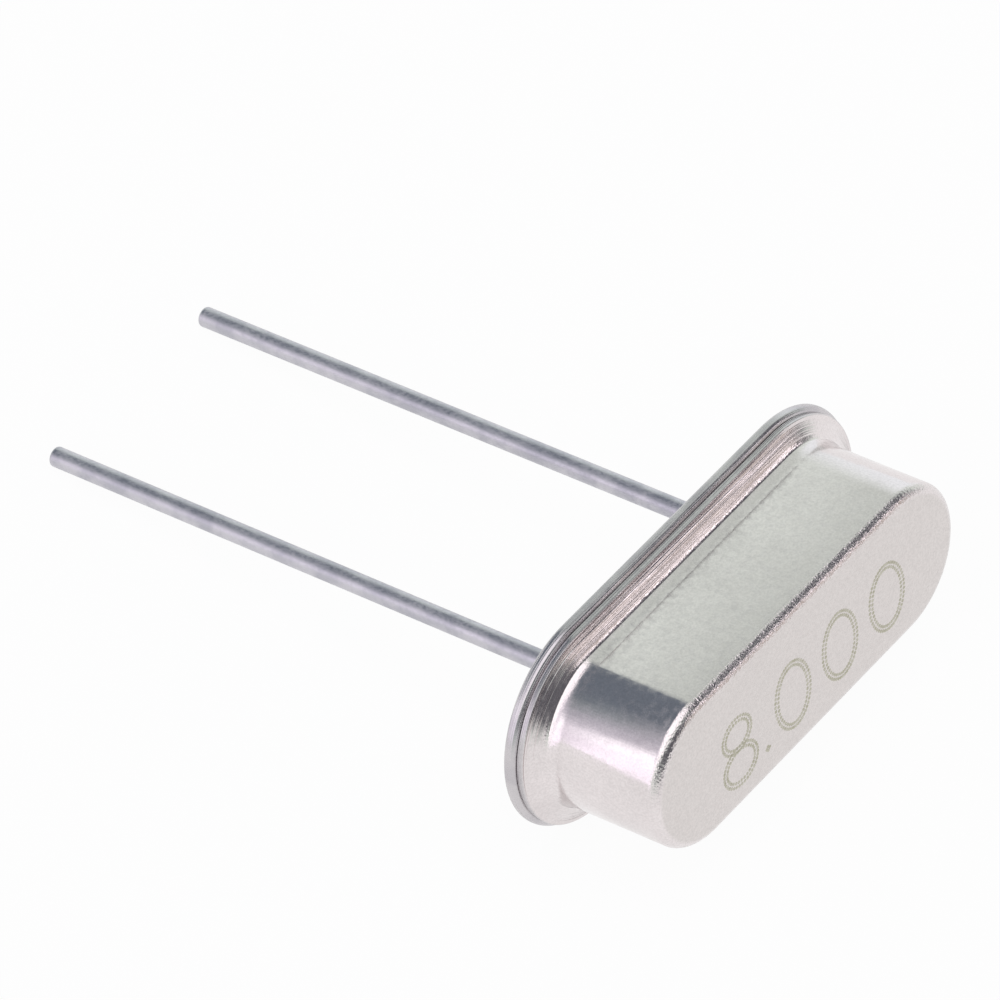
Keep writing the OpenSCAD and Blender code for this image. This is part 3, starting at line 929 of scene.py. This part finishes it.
# Each card is a soft-edged patch of the surroundings. Its side is how many degrees it lies out of
# the YZ plane towards +X, and its roll how many it lies up from -Y, over the top, towards +Y.
cards = [
    {"name": "ceiling", "side": (-90, 26), "sideSoft": (1, 5), "roll": (62, 125),
     "rollSoft": (5, 6), "colour": "#FFFBFF", "level": 1.5},
    {"name": "behind, low", "side": (24, 48), "sideSoft": (3, 6), "roll": (86, 134),
     "rollSoft": (4, 12), "colour": "#D6DED8", "level": 1},
    {"name": "bright end", "side": (51, 90), "sideSoft": (14, 1), "roll": (118, 192),
     "rollSoft": (14, 4), "colour": "#F6FCFF", "level": 1.12},
    {"name": "lilac wall", "side": (-90, -26), "sideSoft": (1, 10), "roll": (100, 200),
     "rollSoft": (6, 1), "colour": "#FAF4FF", "level": 1.04},
    {"name": "gap behind", "side": (-35, 28), "sideSoft": (31, 1.5), "roll": (111, 154),
     "rollSoft": (4, 7), "colour": "#737C87", "level": 1},
    {"name": "window", "side": (-90, -46), "sideSoft": (5, 6), "roll": (116, 155),
     "rollSoft": (6, 8), "colour": "#FCF9FF", "level": 1.6},
    {"name": "window, low", "side": (-90, -54), "sideSoft": (5, 5), "roll": (140, 182),
     "rollSoft": (6, 4), "colour": "#FBF4FF", "level": 1.5},
    {"name": "camera side", "side": (-55, 24), "sideSoft": (8, 6), "roll": (14, 48),
     "rollSoft": (3, 4), "colour": "#67676D", "level": 1},
    {"name": "camera side, high", "side": (-25, 14), "sideSoft": (6, 6), "roll": (-2, 48),
     "rollSoft": (2, 5), "colour": "#67676D", "level": 1},
    {"name": "camera side, right", "side": (22, 56), "sideSoft": (4, 10), "roll": (31, 88),
     "rollSoft": (2, 8), "colour": "#5F5F66", "level": 1},
    {"name": "camera side, far", "side": (42, 62), "sideSoft": (4, 6), "roll": (1, 50),
     "rollSoft": (2, 5), "colour": "#77777B", "level": 1},
    {"name": "paper's edge", "side": (20, 45), "sideSoft": (3, 5), "roll": (-4, 26),
     "rollSoft": (1, 2), "colour": "#EFE3DB", "level": 0.72},
    {"name": "lamp strip", "side": (20, 52), "sideSoft": (3, 5), "roll": (24.5, 31.5),
     "rollSoft": (1, 1), "colour": "#FFF8FC", "level": 2.2},
]


def makeWorld():
    # the cards are painted one over another, and the camera itself sees plain white
    world = bpy.data.worlds.new("studio")
    bpy.context.scene.world = world
    world.use_nodes = True
    tree = world.node_tree
    out = next(node for node in tree.nodes if node.type == 'OUTPUT_WORLD')
    light = next(node for node in tree.nodes if node.type == 'BACKGROUND')
    coords = addNode(tree, 'ShaderNodeTexCoord')
    way = addNode(tree, 'ShaderNodeSeparateXYZ', {0: coords.outputs["Generated"]})
    side = addNode(tree, 'ShaderNodeMath', {0: way.outputs["X"]}, operation='ARCSINE')
    ahead = addNode(tree, 'ShaderNodeMath', {0: way.outputs["Y"], 1: -1}, operation='MULTIPLY')
    roll = addNode(tree, 'ShaderNodeMath', {0: way.outputs["Z"], 1: ahead.outputs[0]},
                   operation='ARCTAN2')
    colour = srgb(studio["air"])
    for card in cards:
        shape = 1.0
        for angle, key in ((side, "side"), (roll, "roll")):
            start, end = (radians(value) for value in card[key])
            middle, half = (start + end) / 2, (end - start) / 2
            soft = [radians(value) for value in card[key + "Soft"]]
            away = addNode(tree, 'ShaderNodeMath', {0: angle.outputs[0], 1: middle},
                           operation='SUBTRACT')
            near = addNode(tree, 'ShaderNodeMath', {0: away.outputs[0], 1: pi, 2: -pi},
                           operation='WRAP')
            rise = addNode(tree, 'ShaderNodeMapRange', {
                "Value": near.outputs[0], "From Min": -half - soft[0],
                "From Max": -half + soft[0]}, interpolation_type='SMOOTHSTEP')
            fall = addNode(tree, 'ShaderNodeMapRange', {
                "Value": near.outputs[0], "From Min": half + soft[1],
                "From Max": half - soft[1]}, interpolation_type='SMOOTHSTEP')
            both = addNode(tree, 'ShaderNodeMath', {0: rise.outputs[0], 1: fall.outputs[0]},
                           operation='MULTIPLY')
            shape = addNode(tree, 'ShaderNodeMath', {0: both.outputs[0], 1: shape},
                            operation='MULTIPLY').outputs[0]
        painted = Vector(srgb(card["colour"])) * card["level"]
        colour = addNode(tree, 'ShaderNodeMix', {"Factor": shape, "A": colour, "B": painted},
                         data_type='RGBA').outputs["Result"]
    tree.links.new(colour, light.inputs["Color"])
    white = addNode(tree, 'ShaderNodeBackground', {"Color": (1, 1, 1, 1), "Strength": 1})
    path = addNode(tree, 'ShaderNodeLightPath')
    mix = addNode(tree, 'ShaderNodeMixShader', {
        0: path.outputs["Is Camera Ray"], 1: light.outputs[0], 2: white.outputs[0]})
    tree.links.new(mix.outputs[0], out.inputs["Surface"])


makeFloor()
makeWorld()
print("floor and surroundings made")
view = bpy.context.scene.view_settings
view.view_transform = 'Standard'
